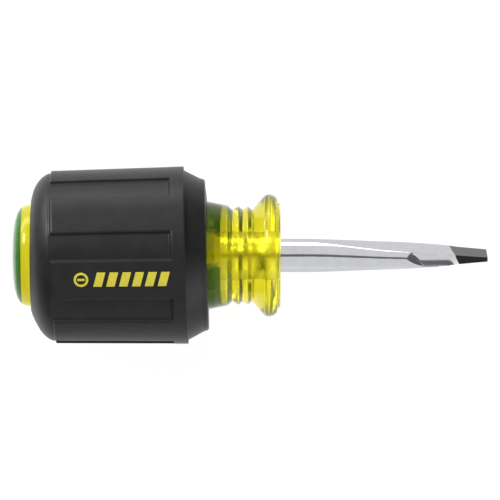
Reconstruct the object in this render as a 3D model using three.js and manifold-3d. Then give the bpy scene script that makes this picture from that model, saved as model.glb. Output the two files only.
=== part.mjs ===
// A stubby slotted screwdriver: a forged steel blade, a coloured core moulded round its tang, a
// clear handle body over the core and a soft ribbed grip sleeve. Millimetres, +Z up.
//
// Every piece is drawn in the tool's own frame: the axis is X, the blade points to +X and x = 0 is
// the collar's front face. The group at the end moves that frame so that the finished tool lies
// along X on the plane z = 0, with the origin under its middle.
import * as THREE from "three";
import { mergeVertices } from "three/addons/utils/BufferGeometryUtils.js";
import Module from "manifold-3d";

const wasm = await Module();
wasm.setup();

// ---------------------------------------------------------------- sizes
const FIT_GAP = 0.3; // between two pieces that touch
const TURNED_SEGMENTS = 48; // round a turned surface

// blade
const BLADE_LENGTH = 38.1; // collar face to tip
const BLADE_RADIUS = 3.07;
const TIP_WIDTH = 6.1;
const TIP_THICKNESS = 0.8;
const TIP_TURN_DEG = 14.5; // the broad faces, turned about the axis from level
const WEDGE_START = 2.6; // where the broad faces leave the round bar, from the collar face
const SPREAD_START = 5; // where forging starts to widen the bar, from the collar face
const SPREAD_SETBACK = 13; // where the bar is at its widest, back from the tip
const SPREAD_RADIUS = 4.35; // half the widest forged width
const GRIND_LENGTH = 12.3; // ground side faces, back from the tip
const GRIND_BACK_WIDTH = 7.3; // between the ground side faces at their back end
const GRIND_SKEW_DEG = 38; // the shoulder of a ground face crosses the blade at this angle
const GRIND_FILLET = 1.6; // grinding wheel radius left in the shoulder
const BLADE_STEPS = 22; // sections along the forged part
const BLADE_SIDES = 32;

// the part of the blade inside the handle
const TANG_LENGTH = 31;
const TANG_CHAMFER = 0.8;
const WING_SPAN = 9.4; // across a pair of coined wings
const WING_THICKNESS = 1.6;
const WING_LENGTH = 6.2;
const WING_STARTS = [12.7, 23.5]; // front end of each pair, behind the collar face

// handle body, each x measured back from the collar face
const COLLAR_RADIUS = 11.25;
const COLLAR_CROWN_X = 2.1;
const RIM_BACK_ROUND = 1.4; // rounding of the collar's rim, behind and in front of the crown
const RIM_FRONT_ROUND = 1.85;
const COLLAR_FACE_INSET = 1.5; // from the collar's radius in to its raised front disc
const COLLAR_FACE_HEIGHT = 0.55;
const COLLAR_FACE_CHAMFER = 0.3;
const GROOVE_RADIUS = 8.4; // floor of the V grooves
const GROOVE_XS = [5.2, 6.9, 8.8];
const RIDGE_HEIGHT = 0.7; // crests between the V grooves
const RIDGE_XS = [5.95, 7.7];
const NECK_FRONT_X = 9.7;
const NECK_FRONT_RADIUS = 9.2;
const NECK_BACK_RADIUS = 10.0; // where the neck enters the sleeve
const BARREL_RADIUS = 13.2; // thickest part of the body, inside the sleeve
const BARREL_SLOPE = 5; // axial length of the slope at each end of the barrel
const BUTT_RADIUS = 9.4;
const BUTT_DOME_LENGTH = 3.2;
const BUTT_DOME_POWER = 3; // a superellipse: 2 is round, more is squarer
const FLUTE_COUNT = 8; // grooves in the barrel that key the sleeve
const FLUTE_RADIUS = 2.6;
const FLUTE_DEPTH = 0.9;

// coloured core, which shows at the butt and through the neck
const CORE_WALL = 0.8; // body left round it where the butt and neck are thinnest
const CORE_SETBACK = 1.5; // its front end, behind the neck's front end
const CORE_CHAMFER = 1;

// grip sleeve
const SLEEVE_FRONT_X = 13.75; // front face, back from the collar face
const SLEEVE_LENGTH = 32.3;
const SLEEVE_WALL = 1.9; // over the barrel, between the ribs at their rear end
const SLEEVE_TAPER = 0.45; // the wall's growth from there to the front band
const MOUTH_LIP = 1; // flat ring round the butt
const SHOULDER_LENGTH = 4.1;
const SHOULDER_PULL = { axial: 1.15, radial: 0.9 }; // control point, from the shoulder's corner
const RIB_HEIGHT = 0.5;
const RIB_REAR_SETBACK = 3.85; // ribs start this far from the sleeve's rear face
const BAND_FRONT_SETBACK = 3.85; // the band ends this far from the sleeve's front face
const BAND_WIDTH = 2.8;
const NOSE_STEP = 0.72; // drop from the band to the nose cone
const NOSE_DROP = 2.25; // drop from the band to the front face
const NOSE_ROUND = 0.9;
const RIB_COUNT = 8;
const RIB_ARC_DEG = 28;
const RIB_PHASE_DEG = 28.75; // middle of one rib above the -Y side
const REST_ROLL_DEG = 83.75; // turn of the whole tool that puts a slot between two ribs underneath

// ---------------------------------------------------------------- derived sizes
const SLEEVE_REAR_X = SLEEVE_FRONT_X + SLEEVE_LENGTH;
const HANDLE_LENGTH = SLEEVE_REAR_X + BUTT_DOME_LENGTH;
const RIDGE_RADIUS = GROOVE_RADIUS + RIDGE_HEIGHT;
const COLLAR_FACE_RADIUS = COLLAR_RADIUS - COLLAR_FACE_INSET;
const CORE_RADIUS = Math.min(BUTT_RADIUS, NECK_FRONT_RADIUS) - CORE_WALL - FIT_GAP;
const CORE_FRONT_X = NECK_FRONT_X + CORE_SETBACK;
const SLEEVE_REAR_RADIUS = BARREL_RADIUS + FIT_GAP + SLEEVE_WALL;
const BAND_RADIUS = SLEEVE_REAR_RADIUS + SLEEVE_TAPER + RIB_HEIGHT;
const NOSE_TIP_RADIUS = BAND_RADIUS - NOSE_DROP;
const radians = THREE.MathUtils.degToRad;

// ---------------------------------------------------------------- solids
function solidOf(geometry) {
  const bare = geometry.clone();
  bare.deleteAttribute("normal");
  bare.deleteAttribute("uv");
  const merged = mergeVertices(bare, 1e-4);
  const solid = new wasm.Manifold(
    new wasm.Mesh({
      numProp: 3,
      vertProperties: merged.getAttribute("position").array,
      triVerts: new Uint32Array(merged.index.array),
    }),
  );
  return solid;
}

function geometryOf(solid) {
  const mesh = solid.getMesh();
  return new THREE.BufferGeometry()
    .setAttribute("position", new THREE.BufferAttribute(mesh.vertProperties, 3))
    .setIndex(new THREE.BufferAttribute(mesh.triVerts, 1))
    .toNonIndexed();
}

// A surface turned about X. The outline's points are (x, radius) and run from -X to +X.
function turned(outline, segments = TURNED_SEGMENTS) {
  const profile = outline.map((p) => new THREE.Vector2(p.y, p.x));
  return solidOf(new THREE.LatheGeometry(profile, segments).rotateZ(-Math.PI / 2));
}

// A round bar along X between two stations.
function bar(xFrom, xTo, radius, segments = TURNED_SEGMENTS) {
  const outline = [
    [xFrom, 0],
    [xFrom, radius],
    [xTo, radius],
    [xTo, 0],
  ];
  return turned(outline.map(([x, r]) => new THREE.Vector2(x, r)), segments);
}

function block(xFrom, xTo, width, height) {
  const box = new THREE.BoxGeometry(xTo - xFrom, width, height);
  return solidOf(box.translate((xFrom + xTo) / 2, 0, 0));
}

// ---------------------------------------------------------------- blade
// Half the forged width at a distance x from the collar face, easing from round bar to full spread.
function spreadRadius(x) {
  const share = THREE.MathUtils.smoothstep(x, SPREAD_START, BLADE_LENGTH - SPREAD_SETBACK);
  return THREE.MathUtils.lerp(BLADE_RADIUS, SPREAD_RADIUS, share);
}

// The bar with its forged spread, before the broad and side faces are cut. Width is along Y.
function spreadBar() {
  const positions = [];
  const stations = [];
  for (let i = 0; i <= BLADE_STEPS; i++) {
    const share = i / BLADE_STEPS;
    stations.push(THREE.MathUtils.lerp(0, BLADE_LENGTH, share));
  }
  const corner = (x, side) => {
    const angle = (2 * Math.PI * side) / BLADE_SIDES;
    return [x, spreadRadius(x) * Math.cos(angle), BLADE_RADIUS * Math.sin(angle)];
  };
  for (let i = 0; i < BLADE_STEPS; i++) {
    for (let side = 0; side < BLADE_SIDES; side++) {
      const a = corner(stations[i], side);
      const b = corner(stations[i + 1], side);
      const c = corner(stations[i + 1], side + 1);
      const d = corner(stations[i], side + 1);
      positions.push(...a, ...c, ...b, ...a, ...d, ...c);
    }
  }
  for (let side = 0; side < BLADE_SIDES; side++) {
    positions.push(0, 0, 0, ...corner(0, side + 1), ...corner(0, side));
    const tipA = corner(BLADE_LENGTH, side);
    const tipB = corner(BLADE_LENGTH, side + 1);
    positions.push(BLADE_LENGTH, 0, 0, ...tipA, ...tipB);
  }
  const geometry = new THREE.BufferGeometry();
  geometry.setAttribute("position", new THREE.Float32BufferAttribute(positions, 3));
  return solidOf(geometry);
}

// What is removed above the upper broad face: a wedge from the bar's surface down to the tip.
function broadCutter() {
  const clear = 2 * SPREAD_RADIUS;
  const outline = new THREE.Shape([
    new THREE.Vector2(WEDGE_START, BLADE_RADIUS),
    new THREE.Vector2(BLADE_LENGTH, TIP_THICKNESS / 2),
    new THREE.Vector2(BLADE_LENGTH + clear, TIP_THICKNESS / 2),
    new THREE.Vector2(BLADE_LENGTH + clear, clear),
    new THREE.Vector2(WEDGE_START, clear),
  ]);
  const prism = new THREE.ExtrudeGeometry(outline, { depth: 2 * clear, bevelEnabled: false });
  return solidOf(prism.translate(0, 0, -clear).rotateX(Math.PI / 2));
}

// What is ground off one side: a plane that narrows to the tip, with the wheel's radius at its back.
function sideCutter() {
  const clear = 2 * SPREAD_RADIUS;
  const backX = BLADE_LENGTH - GRIND_LENGTH;
  const backY = GRIND_BACK_WIDTH / 2;
  const run = GRIND_LENGTH * Math.cos(radians(GRIND_SKEW_DEG)); // the leaning grind's own length
  const slope = (backY - TIP_WIDTH / 2) / run;
  const outline = new THREE.Shape();
  outline.moveTo(backX + 2 * run, backY - 2 * run * slope);
  outline.lineTo(backX + 2 * run, clear);
  outline.lineTo(backX - GRIND_FILLET, clear);
  outline.lineTo(backX - GRIND_FILLET, backY + GRIND_FILLET);
  outline.absarc(backX, backY + GRIND_FILLET, GRIND_FILLET, Math.PI, 1.5 * Math.PI, false);
  const prism = new THREE.ExtrudeGeometry(outline, {
    depth: 2 * clear,
    bevelEnabled: false,
    curveSegments: 5,
  });
  prism.translate(0, 0, -clear);
  // The wheel's axis leans in the plane of the side face, about the middle of its back end.
  prism.translate(-backX, 0, 0).rotateY(radians(GRIND_SKEW_DEG)).translate(backX, 0, 0);
  return solidOf(prism);
}

// One pair of wings pressed out of the tang, which stop it turning in the handle.
function wingPair(start, gap = 0) {
  const xFrom = -start - WING_LENGTH - gap;
  return block(xFrom, -start + gap, WING_SPAN + 2 * gap, WING_THICKNESS + 2 * gap);
}

function tang() {
  const outline = [
    [-TANG_LENGTH, 0],
    [-TANG_LENGTH, BLADE_RADIUS - TANG_CHAMFER],
    [-TANG_LENGTH + TANG_CHAMFER, BLADE_RADIUS],
    [0, BLADE_RADIUS],
    [0, 0],
  ];
  const round = turned(outline.map(([x, r]) => new THREE.Vector2(x, r)), BLADE_SIDES);
  return WING_STARTS.reduce((solid, start) => solid.add(wingPair(start)), round);
}

function bladeGeometry() {
  const upper = broadCutter();
  const side = sideCutter();
  const forged = spreadBar()
    .subtract(upper)
    .subtract(upper.rotate([180, 0, 0]))
    .subtract(side)
    .subtract(side.rotate([180, 0, 0]));
  return geometryOf(forged.add(tang()));
}

// ---------------------------------------------------------------- handle body
// How far back the butt's dome reaches at a radius.
function domeX(radius) {
  const share = Math.pow(radius / BUTT_RADIUS, BUTT_DOME_POWER);
  return -SLEEVE_REAR_X - BUTT_DOME_LENGTH * Math.pow(1 - share, 1 / BUTT_DOME_POWER);
}

// The dome between two radii, from the axis outward.
function domePoints(fromRadius, toRadius, steps) {
  const points = [];
  for (let i = 0; i <= steps; i++) {
    const radius = THREE.MathUtils.lerp(fromRadius, toRadius, i / steps);
    points.push(new THREE.Vector2(domeX(radius), radius));
  }
  return points;
}

// The barrel inside the sleeve: its outline from the butt to the neck, grown by a clearance.
function barrelPoints(grow) {
  return [
    [-SLEEVE_REAR_X, BUTT_RADIUS],
    [-SLEEVE_REAR_X + 1, BUTT_RADIUS],
    [-SLEEVE_REAR_X + 1 + BARREL_SLOPE, BARREL_RADIUS],
    [-SLEEVE_FRONT_X - 1 - BARREL_SLOPE, BARREL_RADIUS],
    [-SLEEVE_FRONT_X - 1, NECK_BACK_RADIUS],
    [-SLEEVE_FRONT_X, NECK_BACK_RADIUS],
  ].map(([x, r]) => new THREE.Vector2(x, r + grow));
}

// Grooves along the barrel. With a clearance they are narrower, as the sleeve's inner ribs are.
function cutFlutes(solid, gap) {
  const centreRadius = BARREL_RADIUS - FLUTE_DEPTH + FLUTE_RADIUS;
  const flute = bar(-SLEEVE_REAR_X - 1, -SLEEVE_FRONT_X + 1, FLUTE_RADIUS - gap, 16);
  let cut = solid;
  for (let i = 0; i < FLUTE_COUNT; i++) {
    const angle = radians(RIB_PHASE_DEG + (360 * i) / FLUTE_COUNT);
    const y = -centreRadius * Math.cos(angle);
    const z = centreRadius * Math.sin(angle);
    cut = cut.subtract(flute.translate([0, y, z]));
  }
  return cut;
}

// The V grooves and the crests between them, from back to front.
function groovePoints() {
  const points = GROOVE_XS.map((x) => new THREE.Vector2(-x, GROOVE_RADIUS));
  points.push(...RIDGE_XS.map((x) => new THREE.Vector2(-x, RIDGE_RADIUS)));
  return points.sort((a, b) => a.x - b.x);
}

// The collar, from its back slope over the rounded rim to the raised front disc.
function collarPoints() {
  const path = new THREE.Path();
  const backY = COLLAR_RADIUS - RIM_BACK_ROUND;
  const frontY = COLLAR_RADIUS - RIM_FRONT_ROUND;
  const faceAngle = Math.acos((COLLAR_CROWN_X - COLLAR_FACE_HEIGHT) / RIM_FRONT_ROUND);
  path.absarc(-COLLAR_CROWN_X, backY, RIM_BACK_ROUND, 0.75 * Math.PI, 0.5 * Math.PI, true);
  path.absarc(-COLLAR_CROWN_X, frontY, RIM_FRONT_ROUND, 0.5 * Math.PI, faceAngle, true);
  path.lineTo(-COLLAR_FACE_HEIGHT, COLLAR_FACE_RADIUS);
  path.lineTo(-COLLAR_FACE_CHAMFER, COLLAR_FACE_RADIUS);
  path.lineTo(0, COLLAR_FACE_RADIUS - COLLAR_FACE_CHAMFER);
  path.lineTo(0, 0);
  return path.getPoints(3);
}

// The core from the butt to its front end, grown by a clearance.
function corePoints(grow) {
  const front = -CORE_FRONT_X + grow;
  return [
    new THREE.Vector2(front - CORE_CHAMFER, CORE_RADIUS + grow),
    new THREE.Vector2(front, CORE_RADIUS - CORE_CHAMFER + grow),
    new THREE.Vector2(front, 0),
  ];
}

// The hole for the blade: a round socket and a slot for each pair of wings.
function cutSocket(solid) {
  let cut = solid.subtract(bar(-TANG_LENGTH - FIT_GAP, 1, BLADE_RADIUS + FIT_GAP, BLADE_SIDES));
  for (const start of WING_STARTS) {
    cut = cut.subtract(wingPair(start, FIT_GAP).rotate([TIP_TURN_DEG, 0, 0]));
  }
  return cut;
}

function bodyGeometry() {
  const outline = [
    new THREE.Vector2(-HANDLE_LENGTH, 0),
    ...domePoints(0, BUTT_RADIUS, 12).slice(1),
    ...barrelPoints(0).slice(1),
    new THREE.Vector2(-NECK_FRONT_X, NECK_FRONT_RADIUS),
    ...groovePoints(),
    ...collarPoints(),
  ];
  const behind = -HANDLE_LENGTH - 1;
  const pocket = turned([
    new THREE.Vector2(behind, 0),
    new THREE.Vector2(behind, CORE_RADIUS + FIT_GAP),
    ...corePoints(FIT_GAP),
  ]);
  return geometryOf(cutSocket(cutFlutes(turned(outline), 0).subtract(pocket)));
}

function coreGeometry() {
  return geometryOf(cutSocket(turned([...domePoints(0, CORE_RADIUS, 10), ...corePoints(0)])));
}

// ---------------------------------------------------------------- grip sleeve
// Radius of the groove floor between the ribs, which grows from the rear to the band.
function floorRadius(x) {
  const from = -SLEEVE_REAR_X + RIB_REAR_SETBACK;
  const to = -SLEEVE_FRONT_X - BAND_FRONT_SETBACK;
  const share = (x - from) / (to - from);
  return THREE.MathUtils.lerp(SLEEVE_REAR_RADIUS, BAND_RADIUS - RIB_HEIGHT, share);
}

// The sleeve without its ribs and band.
function sleeveCore() {
  const rear = -SLEEVE_REAR_X;
  const front = -SLEEVE_FRONT_X;
  const bandFront = front - BAND_FRONT_SETBACK;
  const shoulder = rear + SHOULDER_LENGTH;
  const path = new THREE.Path();
  path.moveTo(rear, 0);
  path.lineTo(rear, BUTT_RADIUS + FIT_GAP + MOUTH_LIP);
  path.quadraticCurveTo(
    rear + SHOULDER_PULL.axial,
    SLEEVE_REAR_RADIUS - SHOULDER_PULL.radial,
    shoulder,
    floorRadius(shoulder),
  );
  path.lineTo(bandFront - 1, floorRadius(bandFront - 1));
  path.lineTo(bandFront - 1, BAND_RADIUS - NOSE_STEP);
  path.lineTo(bandFront, BAND_RADIUS - NOSE_STEP);
  path.lineTo(front - NOSE_ROUND, NOSE_TIP_RADIUS);
  path.quadraticCurveTo(front, NOSE_TIP_RADIUS, front, NOSE_TIP_RADIUS - NOSE_ROUND);
  path.lineTo(front, 0);
  return turned(path.getPoints(6));
}

// Eight ribs joined by the front band, made as a tapered ring with slots between the ribs.
function ribCage() {
  const ribRear = -SLEEVE_REAR_X + RIB_REAR_SETBACK;
  const bandFront = -SLEEVE_FRONT_X - BAND_FRONT_SETBACK;
  const bandRear = bandFront - BAND_WIDTH;
  const outline = [
    [ribRear, 0],
    [ribRear, floorRadius(ribRear) + RIB_HEIGHT],
    [bandFront, BAND_RADIUS],
    [bandFront, 0],
  ];
  let cage = turned(outline.map(([x, r]) => new THREE.Vector2(x, r)));
  const slotArc = radians(360 / RIB_COUNT - RIB_ARC_DEG);
  const reach = 2 * BAND_RADIUS;
  for (let i = 0; i < RIB_COUNT; i++) {
    const wedge = new THREE.Shape([
      new THREE.Vector2(0, 0),
      new THREE.Vector2(reach, -reach * Math.tan(slotArc / 2)),
      new THREE.Vector2(reach, reach * Math.tan(slotArc / 2)),
    ]);
    const depth = bandRear - ribRear + 1;
    const prism = new THREE.ExtrudeGeometry(wedge, { depth, bevelEnabled: false });
    // The outline's X becomes -Y, so that a turn about X lifts it above the -Y side.
    prism.rotateY(Math.PI / 2).rotateX(-Math.PI / 2).translate(ribRear - 1, 0, 0);
    const middle = RIB_PHASE_DEG + (360 * (i + 0.5)) / RIB_COUNT;
    cage = cage.subtract(solidOf(prism).rotate([-middle, 0, 0]));
  }
  return cage;
}

function sleeveGeometry() {
  const ends = 1; // the bore runs this far past both ends
  const bore = [
    new THREE.Vector2(-SLEEVE_REAR_X - ends, 0),
    new THREE.Vector2(-SLEEVE_REAR_X - ends, BUTT_RADIUS + FIT_GAP),
    ...barrelPoints(FIT_GAP),
    new THREE.Vector2(-SLEEVE_FRONT_X + ends, NECK_BACK_RADIUS + FIT_GAP),
    new THREE.Vector2(-SLEEVE_FRONT_X + ends, 0),
  ];
  return geometryOf(sleeveCore().add(ribCage()).subtract(cutFlutes(turned(bore), FIT_GAP)));
}

// ---------------------------------------------------------------- the tool
const chromeSteel = new THREE.MeshStandardMaterial({ color: 0xd4d7dc, roughness: 0.12, metalness: 1 });
const clearYellow = new THREE.MeshStandardMaterial({
  color: 0xded52a,
  roughness: 0.08,
  metalness: 0,
  transparent: true,
  opacity: 0.6,
});
const clearGreen = new THREE.MeshStandardMaterial({
  color: 0x34662a,
  roughness: 0.08,
  metalness: 0,
  transparent: true,
  opacity: 0.8,
});
const blackVinyl = new THREE.MeshStandardMaterial({ color: 0x2b2b2b, roughness: 0.6, metalness: 0 });

function piece(name, geometry, material) {
  const mesh = new THREE.Mesh(geometry, material);
  mesh.name = name;
  return mesh;
}

const blade = piece("blade", bladeGeometry(), chromeSteel);
blade.rotation.x = radians(TIP_TURN_DEG);

const screwdriver = new THREE.Group();
screwdriver.add(
  blade,
  piece("handle_body", bodyGeometry(), clearYellow),
  piece("colour_core", coreGeometry(), clearGreen),
  piece("grip_sleeve", sleeveGeometry(), blackVinyl),
);
screwdriver.rotation.x = -radians(REST_ROLL_DEG);
screwdriver.position.set((HANDLE_LENGTH - BLADE_LENGTH) / 2, 0, BAND_RADIUS);

export default screwdriver;
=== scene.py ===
"""A stubby slotted screwdriver lying on a light table, seen from above.

Every piece is drawn in the tool's own frame, in millimetres: the axis is X, the tip points to +X,
x = 0 is the collar's front face, and angles round the axis count from the marked side (0 degrees),
which faces the camera, towards the top of the picture (90 degrees). place() takes such a point to
the row's frame.
"""

import math

import bpy
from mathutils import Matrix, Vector


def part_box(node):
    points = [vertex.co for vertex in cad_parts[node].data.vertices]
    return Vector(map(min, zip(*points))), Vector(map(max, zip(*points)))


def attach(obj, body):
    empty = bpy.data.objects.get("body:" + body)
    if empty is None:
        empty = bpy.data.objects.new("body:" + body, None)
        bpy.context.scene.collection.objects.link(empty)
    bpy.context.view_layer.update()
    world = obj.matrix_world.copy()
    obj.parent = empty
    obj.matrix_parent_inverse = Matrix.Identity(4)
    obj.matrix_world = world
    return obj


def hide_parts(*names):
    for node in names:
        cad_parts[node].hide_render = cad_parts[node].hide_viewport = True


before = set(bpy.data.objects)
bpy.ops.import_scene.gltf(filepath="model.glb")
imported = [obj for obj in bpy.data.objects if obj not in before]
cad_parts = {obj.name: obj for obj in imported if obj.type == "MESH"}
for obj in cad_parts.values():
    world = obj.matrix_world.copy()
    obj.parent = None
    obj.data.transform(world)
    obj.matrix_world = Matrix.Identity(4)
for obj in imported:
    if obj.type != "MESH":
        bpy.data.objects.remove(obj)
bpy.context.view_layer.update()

# ---------------------------------------------------------------- where the tool lies
CAMERA_ELEVATION = math.radians(83.75)
COLLAR_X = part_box("handle_body")[1][0]
BUTT = (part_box("colour_core")[0][0] - COLLAR_X) * 1000
TIP = (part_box("blade")[1][0] - COLLAR_X) * 1000
TANG_END = (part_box("blade")[0][0] - COLLAR_X) * 1000
SLEEVE_FORWARD = 0.25  # the soft sleeve has crept this far towards the collar
SLEEVE_REAR = (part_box("grip_sleeve")[0][0] - COLLAR_X) * 1000 + SLEEVE_FORWARD
SLEEVE_FRONT = (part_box("grip_sleeve")[1][0] - COLLAR_X) * 1000 + SLEEVE_FORWARD
CORE_FRONT = (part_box("colour_core")[1][0] - COLLAR_X) * 1000
AXIS_Z = (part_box("blade")[0][2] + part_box("blade")[1][2]) / 2

# The tool's cross axes at 0 and 90 degrees. It was turned so that the first faces the camera.
MARK_AXIS = Vector((0, -math.cos(CAMERA_ELEVATION), math.sin(CAMERA_ELEVATION)))
TOP_AXIS = Vector((0, math.sin(CAMERA_ELEVATION), math.cos(CAMERA_ELEVATION)))


def place(x, radius, angle):
    """A point of the tool's frame, x and radius in mm and the angle in radians, in the row's frame."""
    across = MARK_AXIS * math.cos(angle) + TOP_AXIS * math.sin(angle)
    return Vector((COLLAR_X + x / 1000, 0, AXIS_Z)) + across * (radius / 1000)


# ---------------------------------------------------------------- sizes, in mm
BLADE_RADIUS = 3.07
TIP_THICKNESS = 0.8
TIP_WIDTH = 6.1
TIP_TURN = math.radians(14.5)
WEDGE_START = 4.5
SPREAD_START = 5
SPREAD_SETBACK = 13
SPREAD_RADIUS = 4.35
GRIND_LENGTH = 12.5  # ground side faces, back from the tip
GRIND_BACK_WIDTH = 7.3
GRIND_SKEW = math.radians(38)  # lean of the shoulder that ends a ground face
SHOULDER_SLOPE = 0.24  # the shoulder's slope at its foot, and the wheel radius that steepens it
SHOULDER_ROUND = 8.0
SHOULDER_REACH = 3.2  # how far back from the foot the shoulder is followed
HOLLOW_ROUND = 6.2  # hollow left across a ground face
HOLLOW_TOP = 1.2  # height above the face's middle at which the hollow starts
HOLLOW_FADE = (7.4, 4.8)  # back from the tip, where the hollow runs out into a flat face
GROUND_EDGE = 0.14  # rounding of a ground edge
FORGED_EDGES = (0.3, 0.5)  # rounding of forged edges, for each mm that the broad face is set in
FORGED_END = (8, 1)  # behind the ground faces, where the forged edges turn sharp
TIP_CHAMFER = (0.1, 0.07)  # length and height of the chamfer round the tip's end
TANG_ROUNDING = (-0.64, 0.32)  # where the tang's rounded end would close and where it is full
WING_SPAN = 9.4
WING_THICKNESS = 1.6
WING_LENGTH = 6.2
WING_STARTS = (12.7, 23.5)  # back from the collar's face
WING_EDGE = 0.4  # rounding of a wing's edges and of its foot
WING_FOOT = 0.5
TANG_STEP, FORGED_STEP, GROUND_STEP = 0.4, 0.25, 0.1  # between the sections of the blade's mesh
EDGE_CROWDING = 0.2  # how far the mesh's angles crowd towards the blade's long edges

BUTT_RADIUS = 9.4
BUTT_DOME_POWER = 3
BARREL_RADIUS = 13.2
BARREL_INSET = 1  # from each end of the sleeve to the foot of the barrel's slope
BARREL_SLOPE = 5
NECK_BACK_RADIUS = 10.0
NECK_FRONT = (-9.7, 9.2)
GROOVE_RADIUS = 8.4
GROOVE_XS = (-8.8, -6.9, -5.2)
RIDGE_RADIUS = 9.1
RIDGE_XS = (-7.7, -5.95)
COLLAR_RADIUS = 11.25
COLLAR_CROWN_X = -2.1
RIM_BACK_ROUND = 1.4
RIM_FRONT_ROUND = 1.85
COLLAR_FACE_RADIUS = 9.75
COLLAR_FACE_HEIGHT = 0.55
COLLAR_FACE_CHAMFER = 0.3
CORE_RADIUS = 8.1
CORE_CHAMFER = 1
SEAM = 0.02  # gap drawn between the core and the body at the butt
BODY_CAP_RADIUS = 2  # last ring of a hidden flat end, before its middle point
CORE_CAP_RADIUS = 3
BARE_END = 1.9  # length of the core's end that stays green
BLED_END = 1.7  # and of the ring round it that the green has bled into
STREAK_TURN = math.radians(10)  # middle of a yellow streak in the core, which comes twice round it
STREAK_EDGE = 0.72  # cosine of twice a streak's half width
DIP_LENGTH = 5.95  # black dip on the tip
DIP_SLANT = 0.48

SNUG = 0.05  # gap left between the barrel and the sleeve
SLEEVE_REAR_RADIUS = 15.4
BAND_RADIUS = 16.35
RIB_HEIGHT = 0.5
RIB_REAR_SETBACK = 3.85
BAND_FRONT_SETBACK = 3.85
BAND_WIDTH = 2.8
SHOULDER_PULL = (1.15, 0.9)  # control point of the shoulder's curve, from its square corner
SHOULDER_STEPS = 20
MOUTH_LIP = 1
MOUTH_DEPTH = 0.5  # length of the cylindrical mouth at each end of the bore
NOSE_STEP = 0.72  # the nose's radius is this much less than the band's, and falls to NOSE_DROP less
NOSE_DROP = 2.25
NOSE_ROUND = 0.9
RIB_COUNT = 8
RIB_ARC = math.radians(28)
RIB_PHASE = math.radians(28.75)
RIB_EDGE = 0.34  # width of a rib's rounded edge
RIB_EDGE_STEPS = (0, 0.17, 0.34, 0.5, 0.66, 0.83, 1)
SLEEVE_TILT = math.radians(0.9)  # the soft sleeve sits a little crooked on the handle
SLEEVE_SKEW = math.radians(1.6)  # and its ends are a little out of square
SLEEVE_PIVOT = 0.75  # where it is centred all the same, as a share of its length from the rear


# ---------------------------------------------------------------- mesh helpers
def lerp(a, b, share):
    return a + (b - a) * share


def smoothstep(low, high, value):
    share = min(max((value - low) / (high - low), 0), 1)
    return share * share * (3 - 2 * share)


def smooth_min(a, b, blend):
    """The smaller of two radii, rounded over where they are within blend of each other."""
    overlap = max(blend - abs(a - b), 0) / blend
    return min(a, b) - overlap * overlap * blend / 4


def filleted(points, radii, steps=5):
    """An open outline with its inner corners rounded. radii holds one radius for each inner corner."""
    nearly_straight = 1.57
    points = [Vector(p) for p in points]
    out = [points[0]]
    for before, corner, after, radius in zip(points, points[1:], points[2:], radii):
        to_before, to_after = (before - corner), (after - corner)
        half_turn = to_before.angle(to_after) / 2
        reach = radius / math.tan(half_turn) if half_turn < nearly_straight else 0
        reach = min(reach, to_before.length * 0.49, to_after.length * 0.49)
        start = corner + to_before.normalized() * reach
        end = corner + to_after.normalized() * reach
        if radius == 0 or reach < 1e-4:
            out.append(corner)
            continue
        for i in range(steps + 1):
            share = i / steps
            bend = start.lerp(corner, share).lerp(corner.lerp(end, share), share)
            out.append(bend)
    return out + [points[-1]]


def spaced(points, longest):
    """The outline with extra points, so that no step is longer than that."""
    out = [points[0]]
    for a, b in zip(points, points[1:]):
        count = max(1, math.ceil((b - a).length / longest))
        out += [a.lerp(b, (i + 1) / count) for i in range(count)]
    return out


def grid_object(name, rows, closed_rows=False):
    """A mesh from rows of points round the axis. Rows end in a cap unless they close on themselves."""
    count = len(rows[0])
    verts = [p for row in rows for p in row]
    faces = []
    pairs = [(i, i + 1) for i in range(len(rows) - 1)]
    if closed_rows:
        pairs.append((len(rows) - 1, 0))
    for a, b in pairs:
        for j in range(count):
            k = (j + 1) % count
            faces.append((a * count + j, b * count + j, b * count + k, a * count + k))
    if not closed_rows:
        for row, order in ((0, 1), (len(rows) - 1, -1)):
            ring = [row * count + j for j in range(count)]
            middle = sum((verts[i] for i in ring), Vector()) / count
            verts.append(middle)
            for j in range(count):
                edge = (ring[j], ring[(j + 1) % count])
                faces.append((*edge[::order], len(verts) - 1))
    mesh = bpy.data.meshes.new(name)
    mesh.from_pydata(verts, [], faces)
    mesh.update()
    made = bpy.data.objects.new(name, mesh)
    bpy.context.scene.collection.objects.link(made)
    mesh.shade_smooth()
    mesh.set_sharp_from_angle(angle=math.radians(40))
    return made


def even_angles(count):
    return [2 * math.pi * i / count for i in range(count)]


def revolved(name, outline, angles):
    """A surface turned about the axis from an outline of (x, radius) points."""
    return grid_object(name, [[place(x, radius, a) for a in angles] for x, radius in outline])


# ---------------------------------------------------------------- blade
def spread_radius(x):
    share = smoothstep(SPREAD_START, TIP - SPREAD_SETBACK, x)
    return lerp(BLADE_RADIUS, SPREAD_RADIUS, share)


def half_thickness(x):
    share = (x - WEDGE_START) / (TIP - WEDGE_START)
    return lerp(BLADE_RADIUS, TIP_THICKNESS / 2, share)


def ground_limit(x, z):
    """How far a ground side face lets the blade reach across, at a height z of the near face."""
    back_x = TIP - GRIND_LENGTH
    reach = lerp(GRIND_BACK_WIDTH / 2, TIP_WIDTH / 2, (x - back_x) / GRIND_LENGTH)
    fade = 1 - smoothstep(TIP - HOLLOW_FADE[0], TIP - HOLLOW_FADE[1], x)
    reach += fade * max(HOLLOW_TOP - z, 0) ** 2 / (2 * HOLLOW_ROUND)
    behind = (back_x - x) * math.cos(GRIND_SKEW) - z * math.sin(GRIND_SKEW)
    if behind > 0:
        reach += SHOULDER_SLOPE * behind + behind**2 / (2 * SHOULDER_ROUND)
    return reach


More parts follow.
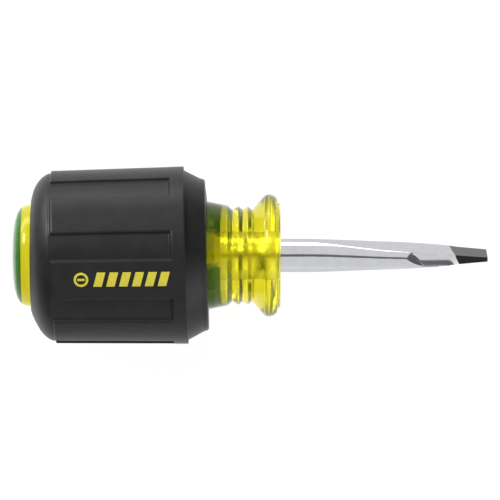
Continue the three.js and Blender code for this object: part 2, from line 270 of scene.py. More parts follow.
def forged_edge(x, angle):
    """Rounding between the broad faces and the sides: soft on the forged bar, sharp at the tip.

    Forging leaves one pair of opposite edges softer than the other.
    """
    inset = max(BLADE_RADIUS - half_thickness(x), 0)
    ground_start = TIP - GRIND_LENGTH
    forged = 1 - smoothstep(ground_start - FORGED_END[0], ground_start - FORGED_END[1], x)
    softness = lerp(*FORGED_EDGES, smoothstep(-0.6, 0.6, math.sin(2 * angle)))
    return max(GROUND_EDGE, softness * inset * forged)


def forged_radius(x, angle):
    """The blade's radius at an angle from the middle of its side face."""
    wide, high = math.cos(angle), math.sin(angle)
    oval = 1 / math.hypot(wide / spread_radius(x), high / BLADE_RADIUS)
    broad = half_thickness(x) / max(abs(high), 1e-6)
    radius = smooth_min(oval, broad, forged_edge(x, angle))
    if x > TIP - GRIND_LENGTH - SHOULDER_REACH and abs(wide) > 1e-3:
        side = math.copysign(1, wide)
        reach = radius
        for _ in range(8):
            reach = ground_limit(x, side * reach * high) / abs(wide)
            reach = min(reach, radius + 2)
        radius = smooth_min(radius, reach, GROUND_EDGE)
    return radius


def tang_radius(x, angle):
    """The round tang with its pairs of pressed wings."""
    radius = BLADE_RADIUS * smoothstep(*TANG_ROUNDING, x - TANG_END)
    wide, high = max(abs(math.cos(angle)), 1e-6), max(abs(math.sin(angle)), 1e-6)
    for start in WING_STARTS:
        half = WING_LENGTH / 2
        middle = -start - half
        share = max(0.0, 1 - (abs(x - middle) / half) ** 4) ** 0.5
        reach = lerp(BLADE_RADIUS * 0.9, WING_SPAN / 2, share)
        wing = smooth_min(reach / wide, WING_THICKNESS / 2 / high, WING_EDGE)
        if abs(x - middle) < half:
            radius = -smooth_min(-radius, -wing, WING_FOOT)
    return radius


def blade_stations():
    """Sections along the blade, crowded at the tang's end and along the ground faces."""
    xs = [TANG_END, TANG_END + 0.3, TANG_END + 0.8]
    x = TANG_END + 1.2
    while x < 0:
        xs.append(x)
        x += TANG_STEP
    while x < TIP - 1.5 * TIP_CHAMFER[0]:
        xs.append(x)
        ground = TIP - GRIND_LENGTH - SHOULDER_REACH < x < TIP - HOLLOW_FADE[1]
        x += GROUND_STEP if ground else FORGED_STEP
    return xs


def blade_angles(x, count=208):
    """Angles crowded round the blade's four long edges."""
    high = half_thickness(x) if x > WEDGE_START else BLADE_RADIUS
    wide = TIP_WIDTH / 2 if x > TIP - GRIND_LENGTH else BLADE_RADIUS
    wide = lerp(BLADE_RADIUS, wide, smoothstep(WEDGE_START, TIP, x))
    angles = []
    for even in even_angles(count):
        crowded = even + EDGE_CROWDING * math.sin(4 * even)
        angles.append(math.atan2(high * math.sin(crowded), wide * math.cos(crowded)))
    return angles


def blade_row(x, section_x, inset=0.0):
    """The outline that the blade has at section_x, placed at x and drawn in by inset."""
    row = []
    for angle in blade_angles(section_x):
        radius = tang_radius(section_x, angle) if section_x < 0 else forged_radius(section_x, angle)
        row.append(place(x, radius - inset, angle - TIP_TURN))
    return row


blade_rows = [blade_row(x, x) for x in blade_stations()]
blade_rows.append(blade_row(TIP - TIP_CHAMFER[0], TIP))
blade_rows.append(blade_row(TIP, TIP, TIP_CHAMFER[1]))
blade = grid_object("forged_blade", blade_rows)


# ---------------------------------------------------------------- handle body and core
def dome_points(steps):
    """The butt's dome as a superellipse, from the axis outward."""
    points = []
    for i in range(1, steps + 1):
        turn = math.pi / 2 * i / steps
        share = math.sin(turn) ** (2 / BUTT_DOME_POWER)
        back = (1 - share**BUTT_DOME_POWER) ** (1 / BUTT_DOME_POWER)
        points.append(Vector((SLEEVE_REAR - (SLEEVE_REAR - BUTT) * back, BUTT_RADIUS * share)))
    return points


def barrel_points(grow):
    """The barrel inside the sleeve, or with grow the bore that fits it."""
    rear, front = SLEEVE_REAR + BARREL_INSET, SLEEVE_FRONT - BARREL_INSET
    return [
        Vector((rear, BUTT_RADIUS + grow)),
        Vector((rear + BARREL_SLOPE, BARREL_RADIUS + grow)),
        Vector((front - BARREL_SLOPE, BARREL_RADIUS + grow)),
        Vector((front, NECK_BACK_RADIUS + grow)),
    ]


def on_circle(centre, radius, degrees):
    """A point of a circle in the outline's plane, by its angle from the +X side."""
    turn = math.radians(degrees)
    return Vector((centre[0] + radius * math.cos(turn), centre[1] + radius * math.sin(turn)))


def arc(centre, radius, start, end, steps):
    return [on_circle(centre, radius, lerp(start, end, i / steps)) for i in range(steps + 1)]


def neck_points():
    corners = [(x, GROOVE_RADIUS) for x in GROOVE_XS] + [(x, RIDGE_RADIUS) for x in RIDGE_XS]
    back = (COLLAR_CROWN_X, COLLAR_RADIUS - RIM_BACK_ROUND)
    corners = [(SLEEVE_FRONT, NECK_BACK_RADIUS), NECK_FRONT, *sorted(corners)]
    slope_end = on_circle(back, RIM_BACK_ROUND, 135)
    rounding = [0.25] + [0.14] * 5
    return filleted([*corners, slope_end], rounding, 4)


def collar_points():
    back = (COLLAR_CROWN_X, COLLAR_RADIUS - RIM_BACK_ROUND)
    front = (COLLAR_CROWN_X, COLLAR_RADIUS - RIM_FRONT_ROUND)
    face_turn = math.degrees(math.acos((-COLLAR_CROWN_X - COLLAR_FACE_HEIGHT) / RIM_FRONT_ROUND))
    face = [
        (-COLLAR_FACE_HEIGHT, front[1] + RIM_FRONT_ROUND * math.sin(math.radians(face_turn))),
        (-COLLAR_FACE_HEIGHT, COLLAR_FACE_RADIUS),
        (-COLLAR_FACE_CHAMFER, COLLAR_FACE_RADIUS),
        (0, COLLAR_FACE_RADIUS - COLLAR_FACE_CHAMFER),
        (0, BLADE_RADIUS * 0.8),
    ]
    rim = arc(back, RIM_BACK_ROUND, 133, 90, 6) + arc(front, RIM_FRONT_ROUND, 88, face_turn + 4, 8)
    return rim + filleted(face, [0.06, 0.08, 0.08], 3)


body_dome = [p for p in dome_points(60) if p.y > CORE_RADIUS + 0.1]
body_mouth = [(body_dome[0].x + 0.3, CORE_RADIUS + SEAM), body_dome[0], body_dome[3]]
body_barrel = [(SLEEVE_REAR, BUTT_RADIUS), *barrel_points(0), (SLEEVE_FRONT, NECK_BACK_RADIUS)]
body_outline = [
    Vector((body_dome[0].x + 0.5, BODY_CAP_RADIUS)),
    Vector((body_dome[0].x + 0.5, CORE_RADIUS + SEAM)),
    *filleted(body_mouth, [0.1])[:-1],
    *body_dome[3::3],
    *filleted(body_barrel, [1] * 4)[1:-1],
    *neck_points(),
    *collar_points(),
]
handle_body = revolved("clear_handle", body_outline, even_angles(160))

core_outline = [p for p in dome_points(40) if p.y < CORE_RADIUS - 0.1]
core_outline += filleted(
    [
        core_outline[-1],
        (core_outline[-1].x + 0.15, CORE_RADIUS),
        (CORE_FRONT - CORE_CHAMFER, CORE_RADIUS),
        (CORE_FRONT, CORE_RADIUS - CORE_CHAMFER),
        (CORE_FRONT, CORE_CAP_RADIUS),
    ],
    [0.1, 0.3, 0.3],
)[1:]
core = revolved("green_core", core_outline, even_angles(96))

# ---------------------------------------------------------------- grip sleeve
RIB_REAR = SLEEVE_REAR + RIB_REAR_SETBACK
BAND_FRONT = SLEEVE_FRONT - BAND_FRONT_SETBACK
BAND_REAR = BAND_FRONT - BAND_WIDTH


def floor_radius(x):
    return lerp(SLEEVE_REAR_RADIUS, BAND_RADIUS - RIB_HEIGHT, (x - RIB_REAR) / (BAND_FRONT - RIB_REAR))


def rib_share(angle):
    """1 on a rib and 0 between two, with a bevel at the rib's edge."""
    pitch = 2 * math.pi / RIB_COUNT
    off = (angle - RIB_PHASE + pitch / 2) % pitch - pitch / 2
    edge = (abs(off) - RIB_ARC / 2) * BAND_RADIUS
    return 1 - smoothstep(-RIB_EDGE, 0, edge)


def sleeve_angles():
    """Angles crowded round the ribs' edges."""
    angles = []
    pitch = 2 * math.pi / RIB_COUNT
    edge = RIB_ARC / 2
    bevel = RIB_EDGE / BAND_RADIUS
    offsets = [-edge - bevel * 0.8, *[-edge + bevel * s for s in RIB_EDGE_STEPS]]
    offsets += [lerp(-edge + 2 * bevel, edge - 2 * bevel, i / 10) for i in range(11)]
    offsets += [-o for o in offsets[7::-1]]
    gap = pitch - 2 * edge
    offsets += [edge + gap * s for s in (0.12, 0.3, 0.5, 0.7, 0.88)]
    for rib in range(RIB_COUNT):
        angles += [RIB_PHASE + rib * pitch + o for o in offsets]
    return angles


def rib_stations():
    """Stations from the ribs' rear end to the band's front, crowded round each step."""
    xs = []
    for step in (RIB_REAR, BAND_REAR):
        xs += [step + RIB_EDGE * s for s in (-0.8, *RIB_EDGE_STEPS, 2)]
    xs += [lerp(RIB_REAR + 1, BAND_REAR - 1, i / 14) for i in range(15)]
    xs += [lerp(BAND_REAR + 0.8, BAND_FRONT - 0.3, i / 3) for i in range(4)]
    return sorted(xs)


def place_on_sleeve(x, radius, angle):
    """place() for the sleeve, whose outside leans in the picture's plane while its bore stays true."""
    outside = smoothstep(NECK_BACK_RADIUS + SNUG, BARREL_RADIUS, radius)
    pivot = lerp(SLEEVE_REAR, SLEEVE_FRONT, SLEEVE_PIVOT)
    shift_x = -outside * radius * math.sin(angle) * math.sin(SLEEVE_SKEW) / 1000
    shift_up = outside * (x - pivot) * math.sin(SLEEVE_TILT) / 1000
    return place(x, radius, angle) + Vector((shift_x, 0, 0)) + TOP_AXIS * shift_up


def sleeve_rows(angles):
    rows = []

    def turned_row(x, radius):
        rows.append([place_on_sleeve(x, radius, a) for a in angles])

    mouth = BUTT_RADIUS + SNUG
    start = Vector((SLEEVE_REAR, mouth + MOUTH_LIP))
    pull = Vector((SLEEVE_REAR + SHOULDER_PULL[0], SLEEVE_REAR_RADIUS - SHOULDER_PULL[1]))
    shoulder_end = RIB_REAR - 0.3
    end = Vector((shoulder_end, floor_radius(shoulder_end)))
    rear_mouth = [(SLEEVE_REAR + MOUTH_DEPTH, mouth), (SLEEVE_REAR, mouth), start]
    for x, radius in filleted(rear_mouth, [0.25]):
        turned_row(x, radius)
    for i in range(1, SHOULDER_STEPS + 1):
        share = i / SHOULDER_STEPS
        x, radius = start.lerp(pull, share).lerp(pull.lerp(end, share), share)
        turned_row(x, radius)
    ribs = [rib_share(a) for a in angles]
    for x in rib_stations():
        along = smoothstep(RIB_REAR, RIB_REAR + RIB_EDGE, x)
        band = smoothstep(BAND_REAR - RIB_EDGE, BAND_REAR, x - RIB_EDGE)
        heights = [RIB_HEIGHT * along * max(rib, band) for rib in ribs]
        rows.append([place_on_sleeve(x, floor_radius(x) + h, a) for a, h in zip(angles, heights)])
    front_mouth = NECK_BACK_RADIUS + SNUG
    nose = [
        (BAND_FRONT - 0.3, BAND_RADIUS),
        (BAND_FRONT, BAND_RADIUS - 0.01),
        (BAND_FRONT + 0.04, BAND_RADIUS - NOSE_STEP),
        (SLEEVE_FRONT - NOSE_ROUND, BAND_RADIUS - NOSE_DROP),
        (SLEEVE_FRONT, BAND_RADIUS - NOSE_DROP - 0.25),
        (SLEEVE_FRONT, front_mouth),
        (SLEEVE_FRONT - MOUTH_DEPTH, front_mouth),
    ]
    nose = filleted(nose, [0.12, 0.12, 0.5, 0.55, 0.2])
    for x, radius in spaced(nose, longest=1.2)[1:]:
        turned_row(x, radius)
    rear_end, front_end = (SLEEVE_REAR + MOUTH_DEPTH, mouth), (SLEEVE_FRONT - MOUTH_DEPTH, front_mouth)
    bore = filleted([rear_end, *barrel_points(SNUG), front_end], [0.1, 1, 1, 0.1])
    for x, radius in reversed(bore[1:-1]):
        turned_row(x, radius)
    return rows


sleeve = grid_object("vinyl_sleeve", sleeve_rows(sleeve_angles()), closed_rows=True)


# ---------------------------------------------------------------- ink mark on one rib
MARK_REAR = -37.7  # the mark's ends along the tool
MARK_FRONT = -20.2
MARK_ANGLE = math.radians(-15.2)
MARK_HEIGHT = 2.67
INK_PROUD = 0.02
INK_ROOT = 0.06  # how far the ink's underside lies inside the rib
RING_WIDTH = 0.42
STROKE_COUNT = 6
STROKE_WIDTH = 1.55
STROKE_SLANT = 0.75


def mark_point(x, up, lift):
    """A point of the mark: x along the tool and up round the rib, both in mm, above its surface."""
    radius = floor_radius(x) + RIB_HEIGHT
    return place_on_sleeve(x, radius + lift, MARK_ANGLE + up / radius)


def ink_patch(verts, faces, outline_rows, closed=False):
    """A closed thin sheet of ink between rows of (x, up) points, each row as long as the others."""
    start, count = len(verts), len(outline_rows[0])
    for lift in (INK_PROUD, -INK_ROOT):
        verts += [mark_point(x, up, lift) for row in outline_rows for x, up in row]
    under = len(outline_rows) * count
    last = len(outline_rows) - 1
    for i in range(len(outline_rows) if closed else last):
        here = start + i * count
        there = start + (i + 1) % len(outline_rows) * count
        for j in range(count - 1):
            top = [here + j, there + j, there + j + 1, here + j + 1]
            faces += [top, [v + under for v in reversed(top)]]
        for j, flip in ((0, True), (count - 1, False)):
            side = [here + j, there + j, there + j + under, here + j + under]
            faces.append(side if flip else side[::-1])
    if not closed:
        for i, flip in ((0, False), (last, True)):
            for j in range(count - 1):
                a = start + i * count + j
                side = [a, a + 1, a + 1 + under, a + under]
                faces.append(side[::-1] if flip else side)


def ink_mark():
    """A plain mark: a slotted screw head seen from above, then a row of slanted strokes."""
    verts, faces = [], []
    half = MARK_HEIGHT / 2
    centre = MARK_REAR + half
    ring = []
    for turn in even_angles(40):
        reach = [half - RING_WIDTH, half - RING_WIDTH / 2, half]
        ring.append([(centre + r * math.cos(turn), r * math.sin(turn)) for r in reach])
    ink_patch(verts, faces, ring, closed=True)
    slot_half = half - 1.6 * RING_WIDTH
    slot = [(-slot_half + slot_half * i / 3, RING_WIDTH / 2) for i in range(7)]
    ink_patch(verts, faces, [[(centre + x, -up), (centre + x, up)] for x, up in slot])
    first = centre + half + RING_WIDTH * 2
    pitch = (MARK_FRONT - first - STROKE_SLANT - STROKE_WIDTH) / (STROKE_COUNT - 1)
    for stroke in range(STROKE_COUNT):
        rows = []
        for i in range(9):
            up = lerp(-half, half, i / 8)
            rear = first + pitch * stroke + STROKE_SLANT * i / 8
            rows.append([(rear + STROKE_WIDTH * share, up) for share in (1, 0.5, 0)])
        ink_patch(verts, faces, rows)
    mesh = bpy.data.meshes.new("ink_mark")
    mesh.from_pydata(verts, [], faces)
    mesh.update()
    made = bpy.data.objects.new("ink_mark", mesh)
    bpy.context.scene.collection.objects.link(made)
    return made


mark = ink_mark()


# ---------------------------------------------------------------- materials
# Linear colours. The pairs run from a surface's darkest patches to its lightest.
VINYL_TONES = ((0.009, 0.009, 0.0095, 1), (0.013, 0.013, 0.013, 1))
YELLOW_TONES = ((0.76, 0.68, 0.018, 1), (0.83, 0.76, 0.028, 1))
# The ring round the butt gets a dimmed yellow and a painted glow of this colour and strength, standing
# in for light that comes out through the handle.
RING_YELLOW_UNDER_PAINTED_GLOW = (0.25, 0.22, 0.008, 1)
PAINTED_RING_GLOW = (1.0, 0.9, 0.03, 1)
PAINTED_RING_GLOW_STRENGTH = 0.4
BLED_GREEN = (0.022, 0.115, 0.008, 1)
CORE_GREENS = ((0.011, 0.095, 0.007, 1), (0.035, 0.17, 0.014, 1))
CORE_YELLOWS = ((0.80, 0.76, 0.04, 1), (0.97, 0.94, 0.08, 1))
CHROME_TONES = ((0.56, 0.565, 0.59, 1), (0.60, 0.605, 0.63, 1))
TANG_STEEL = (0.93, 0.93, 0.9, 1)
OXIDE_TONES = ((0.002, 0.002, 0.002, 1), (0.008, 0.008, 0.008, 1))
INK_TONES = ((0.38, 0.34, 0.015, 1), (0.56, 0.49, 0.03, 1))
TANG_BLEND = (-0.6, -0.2)  # where the bare tang turns into the chromed blade
TANG_ROUGHNESS, CHROME_ROUGHNESS = 0.3, 0.1
OXIDE_ROUGHENING = 0.2
DIP_RAGGED = 0.3  # how far the dip's edge wanders, and how soft it is
DIP_BLUR = 0.15
BLED_BLUR = 0.12  # how soft the edge of the bled green is
BLED_HAZE = 0.7  # share of the clearness that it takes away
RING_CLEARNESS = 0.8
STREAK_WANDER = 0.9
STREAK_BLUR = 0.12
STREAK_FADE = (-8, -5)  # from the sleeve's front end, where the streaks begin
INNER_YELLOW_FADE = (3, 5)  # from the sleeve's rear end, where the yellow behind the green end stops
USUAL_NOISE = (0.3, 0.7)


def new_material(name):
    made = bpy.data.materials.new(name)
    made.use_nodes = True
    return made, made.node_tree, made.node_tree.nodes["Principled BSDF"]


def add(tree, kind, **values):
    """A node with its inputs set by name, and any other setting that isn't an input."""
    made = tree.nodes.new(kind)
    for key, value in values.items():
        label = key.replace("_", " ")
        if label in made.inputs:
            if isinstance(value, bpy.types.NodeSocket):
                tree.links.new(value, made.inputs[label])
            else:
                made.inputs[label].default_value = value
        else:
            setattr(made, key, value)
    return made


def tool_coordinates(tree):
    """The tool's frame in millimetres: X along the axis from the collar's face."""
    coords = add(tree, "ShaderNodeTexCoord").outputs["Object"]
    moved = add(tree, "ShaderNodeMapping", vector_type="POINT", Scale=(1000, 1000, 1000))
    moved.inputs["Location"].default_value = (-COLLAR_X * 1000, 0, -AXIS_Z * 1000)
    tree.links.new(coords, moved.inputs["Vector"])
    return moved.outputs["Vector"]


def stretched(tree, vector, scale):
    made = add(tree, "ShaderNodeMapping", Scale=scale)
    tree.links.new(vector, made.inputs["Vector"])
    return made.outputs["Vector"]


def noise(tree, vector, scale, detail=3, roughness=0.5):
    made = add(tree, "ShaderNodeTexNoise", Scale=scale, Detail=detail, Roughness=roughness)
    tree.links.new(vector, made.inputs["Vector"])
    return made.outputs["Fac"]


def remap(tree, value, low, high):
    """A texture's usual values stretched to a range."""
    made = add(tree, "ShaderNodeMapRange")
    tree.links.new(value, made.inputs["Value"])
    inputs = ("From Min", "From Max", "To Min", "To Max")
    for name, number in zip(inputs, (*USUAL_NOISE, low, high)):
        made.inputs[name].default_value = number
    return made.outputs["Result"]


def plug(tree, value, socket):
    """Links a value that varies, or sets one that doesn't."""
    if isinstance(value, bpy.types.NodeSocket):
        tree.links.new(value, socket)
    else:
        socket.default_value = value


def mixed(tree, factor, a, b):
    """Colour a where the factor is 0 and b where it is 1."""
    made = add(tree, "ShaderNodeMix", data_type="RGBA")
    factor_in, a_in, b_in = (made.inputs[i] for i in (0, 6, 7))
    for value, socket in ((factor, factor_in), (a, a_in), (b, b_in)):
        plug(tree, value, socket)
    return made.outputs[2]


def bump(tree, bsdf, height, depth_mm, strength):
    made = add(tree, "ShaderNodeBump", Strength=strength, Distance=depth_mm / 1000)
    tree.links.new(height, made.inputs["Height"])
    tree.links.new(made.outputs["Normal"], bsdf.inputs["Normal"])


def sockets(bsdf, **values):
    """Sets a shader's plain inputs by name."""
    for key, value in values.items():
        bsdf.inputs[key.replace("_", " ")].default_value = value


def link(tree, value, bsdf, name):
    tree.links.new(value, bsdf.inputs[name])


def dot(tree, vector, axis):
    made = add(tree, "ShaderNodeVectorMath", operation="DOT_PRODUCT")
    tree.links.new(vector, made.inputs[0])
    made.inputs[1].default_value = axis
    return made.outputs["Value"]


def calc(tree, operation, *values):
    made = add(tree, "ShaderNodeMath", operation=operation)
    for value, socket in zip(values, made.inputs):
        plug(tree, value, socket)
    return made.outputs[0]


def ramp(tree, value, low, high, at_low=0.0, at_high=1.0):
    """A smooth step between two values of the input."""
    made = add(tree, "ShaderNodeMapRange", interpolation_type="SMOOTHSTEP")
    tree.links.new(value, made.inputs["Value"])
    for name, number in (("From Min", low), ("From Max", high), ("To Min", at_low), ("To Max", at_high)):
        plug(tree, number, made.inputs[name])
    return made.outputs["Result"]


def vinyl_material():
    made, tree, bsdf = new_material("black_vinyl")
    place_mm = tool_coordinates(tree)
    mottle = remap(tree, noise(tree, place_mm, 0.35, 4), 0, 1)
    grain = noise(tree, place_mm, 5, 3, 0.6)
    link(tree, mixed(tree, mottle, *VINYL_TONES), bsdf, "Base Color")
    link(tree, remap(tree, grain, 0.32, 0.44), bsdf, "Roughness")
    sockets(bsdf, IOR=1.45, Specular_IOR_Level=0.2)
    bump(tree, bsdf, grain, 0.03, 0.5)
    return made


def acetate_material():
    made, tree, bsdf = new_material("clear_yellow")
    place_mm = tool_coordinates(tree)
    swirl = remap(tree, noise(tree, stretched(tree, place_mm, (0.25, 1, 1)), 0.5, 3), 0, 1)
    along = dot(tree, place_mm, (1, 0, 0))
    yellow = mixed(tree, swirl, *YELLOW_TONES)
    bled = ramp(tree, along, BUTT + BLED_END, BUTT + BLED_END + BLED_BLUR, 1.0, 0.0)
    # Painted glow: the ring between the green end and the sleeve gets a dimmed yellow and a glow,
    # standing in for light from inside the handle that leaves through it.
    ring = ramp(tree, along, SLEEVE_REAR, SLEEVE_REAR + 1, 1.0, 0.0)
    ring = calc(tree, "MULTIPLY", ring, calc(tree, "SUBTRACT", 1.0, bled))
    yellow = mixed(tree, ring, yellow, RING_YELLOW_UNDER_PAINTED_GLOW)
    link(tree, calc(tree, "MULTIPLY", ring, PAINTED_RING_GLOW_STRENGTH), bsdf, "Emission Strength")
    link(tree, mixed(tree, bled, yellow, BLED_GREEN), bsdf, "Base Color")
    link(tree, remap(tree, noise(tree, place_mm, 1.2), 0.08, 0.14), bsdf, "Roughness")
    clear = ramp(tree, along, SLEEVE_REAR, SLEEVE_REAR + 4, RING_CLEARNESS, 1.0)
    unbled = calc(tree, "SUBTRACT", 1.0, calc(tree, "MULTIPLY", bled, BLED_HAZE))
    link(tree, calc(tree, "MULTIPLY", clear, unbled), bsdf, "Transmission Weight")
    sockets(bsdf, IOR=1.48, Specular_IOR_Level=0.35, Specular_Tint=(0.8, 0.9, 0.3, 1))
    # Colour of the ring's painted glow.
    sockets(bsdf, Emission_Color=PAINTED_RING_GLOW)
    bump(tree, bsdf, noise(tree, place_mm, 0.9, 2), 0.02, 0.4)
    return made


def core_material():
    """Green plastic that has bled into the yellow in streaks along the tool."""
    made, tree, bsdf = new_material("clear_green")
    place_mm = tool_coordinates(tree)
    along = dot(tree, place_mm, (1, 0, 0))
    turn = calc(tree, "ARCTAN2", dot(tree, place_mm, TOP_AXIS), dot(tree, place_mm, MARK_AXIS))
    swirl = noise(tree, stretched(tree, place_mm, (0.3, 1, 1)), 0.45, 3)
    wander = calc(tree, "MULTIPLY", calc(tree, "SUBTRACT", swirl, 0.5), STREAK_WANDER)
    turn = calc(tree, "SUBTRACT", calc(tree, "ADD", turn, wander), STREAK_TURN)
    streak = calc(tree, "COSINE", calc(tree, "MULTIPLY", turn, 2))
    in_streak = ramp(tree, streak, STREAK_EDGE - STREAK_BLUR, STREAK_EDGE + STREAK_BLUR)
    inner_end = [SLEEVE_REAR + x for x in INNER_YELLOW_FADE]
    past_green_end = ramp(tree, along, BUTT + BARE_END, BUTT + BARE_END + 0.15)
    behind_dome = calc(tree, "MULTIPLY", past_green_end, ramp(tree, along, *inner_end, 1.0, 0.0))
    neck = ramp(tree, along, *[SLEEVE_FRONT + x for x in STREAK_FADE])
    yellow_share = calc(tree, "MAXIMUM", behind_dome, calc(tree, "MULTIPLY", in_streak, neck))
    depth = remap(tree, noise(tree, place_mm, 0.6, 3), 0, 1)
    green = mixed(tree, depth, *CORE_GREENS)
    yellow = mixed(tree, depth, *CORE_YELLOWS)
    link(tree, mixed(tree, yellow_share, green, yellow), bsdf, "Base Color")
    link(tree, remap(tree, noise(tree, place_mm, 2), 0.1, 0.16), bsdf, "Roughness")
    sockets(bsdf, Transmission_Weight=0.2, IOR=1.4, Specular_Tint=(0.6, 1, 0.5, 1))
    return made


def steel_material():
    """Bright chrome with the tip dipped black. The dip's edge slants across the blade."""
    made, tree, bsdf = new_material("chrome_steel")
    place_mm = tool_coordinates(tree)
    along = dot(tree, place_mm, (1, 0, 0))
    slant = calc(tree, "MULTIPLY", dot(tree, place_mm, TOP_AXIS), DIP_SLANT)
    ragged = calc(tree, "MULTIPLY", noise(tree, place_mm, 1.5), DIP_RAGGED)
    level = calc(tree, "ADD", calc(tree, "ADD", along, slant), ragged)
    dipped = ramp(tree, level, TIP - DIP_LENGTH, TIP - DIP_LENGTH + DIP_BLUR)
    drawn = noise(tree, stretched(tree, place_mm, (0.15, 3, 3)), 2.5, 3)
    cloud = remap(tree, noise(tree, place_mm, 0.5, 3), 0, 1)
    chrome = mixed(tree, cloud, *CHROME_TONES)
    chrome = mixed(tree, ramp(tree, along, *TANG_BLEND), TANG_STEEL, chrome)
    grit = noise(tree, stretched(tree, place_mm, (0.6, 2.5, 2.5)), 5, 4, 0.7)
    black = mixed(tree, remap(tree, grit, 0, 1), *OXIDE_TONES)
    link(tree, mixed(tree, dipped, chrome, black), bsdf, "Base Color")
    link(tree, calc(tree, "SUBTRACT", 1.0, dipped), bsdf, "Metallic")
    polish = ramp(tree, along, *TANG_BLEND, TANG_ROUGHNESS, CHROME_ROUGHNESS)
    rough = calc(tree, "ADD", polish, calc(tree, "MULTIPLY", dipped, OXIDE_ROUGHENING))
    link(tree, rough, bsdf, "Roughness")
    sockets(bsdf, Specular_IOR_Level=0.25, Specular_Tint=(0.8, 0.8, 0.82, 1))
    bump(tree, bsdf, drawn, 0.01, 0.3)
    return made


def ink_material():
    made, tree, bsdf = new_material("yellow_ink")
    place_mm = tool_coordinates(tree)
    worn = noise(tree, place_mm, 3.5, 4, 0.65)
    link(tree, mixed(tree, remap(tree, worn, 0, 1), *INK_TONES), bsdf, "Base Color")
    link(tree, remap(tree, worn, 0.5, 0.65), bsdf, "Roughness")
    bump(tree, bsdf, worn, 0.02, 0.4)
    return made


for piece, node, slot, material in (
    (blade, "blade", "chrome_steel", steel_material()),
    (handle_body, "handle_body", "clear_yellow", acetate_material()),
    (core, "colour_core", "clear_green", core_material()),
    (sleeve, "grip_sleeve", "black_vinyl", vinyl_material()),
):
    piece.data.materials.append(material)
    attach(piece, "root")
    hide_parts(node)
mark.data.materials.append(ink_material())
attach(mark, "root")

# ---------------------------------------------------------------- floor
FLOOR_REACH = 3
TABLE_GLOW = 0.97
TABLE_FADE = (0.05, 0.13)  # from the tool's middle, where the glow leaves its level along X
LEFT_FADE = (-0.02, 0.12, 0.3, 1.0)  # past the left end: from y, to y, glow there and there
RIGHT_FADE = (-0.1, 0.1, 2.5, 0.5)  # and the same past the right end

floor_corners = [(x * FLOOR_REACH, y * FLOOR_REACH, 0) for x, y in ((-1, -1), (1, -1), (1, 1), (-1, 1))]
floor_mesh = bpy.data.meshes.new("floor")
floor_mesh.from_pydata(floor_corners, [], [(0, 1, 2, 3)])
floor = bpy.data.objects.new("floor", floor_mesh)
bpy.context.scene.collection.objects.link(floor)
material, tree, bsdf = new_material("light_table")
sockets(bsdf, Base_Color=(0.04, 0.04, 0.04, 1), Roughness=0.9, Emission_Color=(1, 1, 1, 1))
# The table glows evenly under the tool. Past both ends it follows the tent's bright and dark parts.
ground = add(tree, "ShaderNodeTexCoord").outputs["Object"]
rightward = dot(tree, ground, (1, 0, 0))
upward = dot(tree, ground, (0, 1, 0))
left_glow = ramp(tree, upward, *LEFT_FADE)
right_glow = ramp(tree, upward, *RIGHT_FADE)
at_left = ramp(tree, rightward, -TABLE_FADE[1], -TABLE_FADE[0], left_glow, 1.0)
at_right = ramp(tree, rightward, TABLE_FADE[0], TABLE_FADE[1], 1.0, right_glow)
glow = calc(tree, "MULTIPLY", calc(tree, "MULTIPLY", at_left, at_right), TABLE_GLOW)
link(tree, glow, bsdf, "Emission Strength")
floor_mesh.materials.append(material)

# ---------------------------------------------------------------- light
# The tent is even over its middle. It grows brighter towards the upper left and the lower right,
# and darker towards the other two corners. It is dark in a slit round the plane that holds the
# tool's axis and the camera.
TENT_MIDDLE = 0.2  # half the width of the even middle, as the sine of an angle
TENT_LEAN = 0.2  # lean of the level line between the bright corners and the dark ones
TENT_SLOPE = 9.0
TENT_LEVELS = (0.15, 5.0)  # darkest and brightest
SLIT_EDGES = (0.12, 0.17)  # where the slit's soft edge begins and ends, as sines
SLIT_LEVEL = 0.2
SOFTBOX_SIZE = (1.6, 0.4)
SOFTBOX_AT = (-0.7, 1.0, 0.2)
SOFTBOX_ENERGY = 9
KEY_SIZE = (0.4, 0.4)
KEY_AT = Vector((-0.715, 0, 0)) + MARK_AXIS * 0.78 + TOP_AXIS * 0.754
KEY_ENERGY = 16

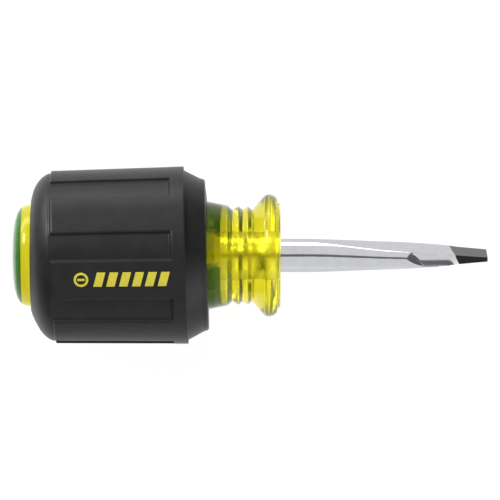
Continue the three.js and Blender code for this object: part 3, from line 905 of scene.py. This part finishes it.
world = bpy.data.worlds.new("tent")
bpy.context.scene.world = world
world.use_nodes = True
tree = world.node_tree
direction = add(tree, "ShaderNodeTexCoord").outputs["Generated"]
right = dot(tree, direction, (1, 0, 0))
up = dot(tree, direction, TOP_AXIS)
leaning = calc(tree, "ADD", up, calc(tree, "MULTIPLY", right, TENT_LEAN))
centred = calc(tree, "MINIMUM", calc(tree, "MAXIMUM", right, -TENT_MIDDLE), TENT_MIDDLE)
sideways = calc(tree, "SUBTRACT", right, centred)
drop = calc(tree, "MULTIPLY", calc(tree, "MULTIPLY", sideways, leaning), TENT_SLOPE)
tent = calc(tree, "SUBTRACT", 1.0, drop)
tent = calc(tree, "MINIMUM", calc(tree, "MAXIMUM", tent, 0.0), TENT_LEVELS[1])
slit = ramp(tree, calc(tree, "ABSOLUTE", up), *SLIT_EDGES, SLIT_LEVEL, 1.0)
tent = calc(tree, "MAXIMUM", calc(tree, "MULTIPLY", tent, slit), TENT_LEVELS[0])
tree.nodes["Background"].inputs["Color"].default_value = (1, 1, 1, 1)
tree.links.new(tent, tree.nodes["Background"].inputs["Strength"])


def area_light(name, size, energy, location):
    light = bpy.data.lights.new(name, "AREA")
    light.shape = "RECTANGLE"
    light.size, light.size_y = size
    light.energy = energy
    made = bpy.data.objects.new(name, light)
    bpy.context.scene.collection.objects.link(made)
    made.location = location
    return made


softbox = area_light("softbox", SOFTBOX_SIZE, SOFTBOX_ENERGY, SOFTBOX_AT)
softbox.rotation_euler = (math.radians(-90), 0, 0)
key = area_light("key", KEY_SIZE, KEY_ENERGY, KEY_AT)
key.rotation_mode = "QUATERNION"
key.rotation_quaternion = (-KEY_AT).to_track_quat("-Z", "Y")

# ---------------------------------------------------------------- camera
FIELD = 0.09215  # width that the picture takes in at the tool, in metres
DISTANCE = 1.0
AXIS_BELOW_CENTRE = 0.001
SENSOR_WIDTH = 36  # in millimetres, as the lens
camera_data = bpy.data.cameras.new("camera")
camera_data.sensor_width = SENSOR_WIDTH
camera_data.lens = SENSOR_WIDTH * DISTANCE / FIELD
camera = bpy.data.objects.new("camera", camera_data)
bpy.context.scene.collection.objects.link(camera)
target = Vector((0, 0, AXIS_Z)) + TOP_AXIS * AXIS_BELOW_CENTRE
camera.location = target + MARK_AXIS * DISTANCE
camera.rotation_mode = "QUATERNION"
camera.rotation_quaternion = (-MARK_AXIS).to_track_quat("-Z", "Y")
bpy.context.scene.camera = camera
bpy.context.scene.view_settings.view_transform = "Standard"
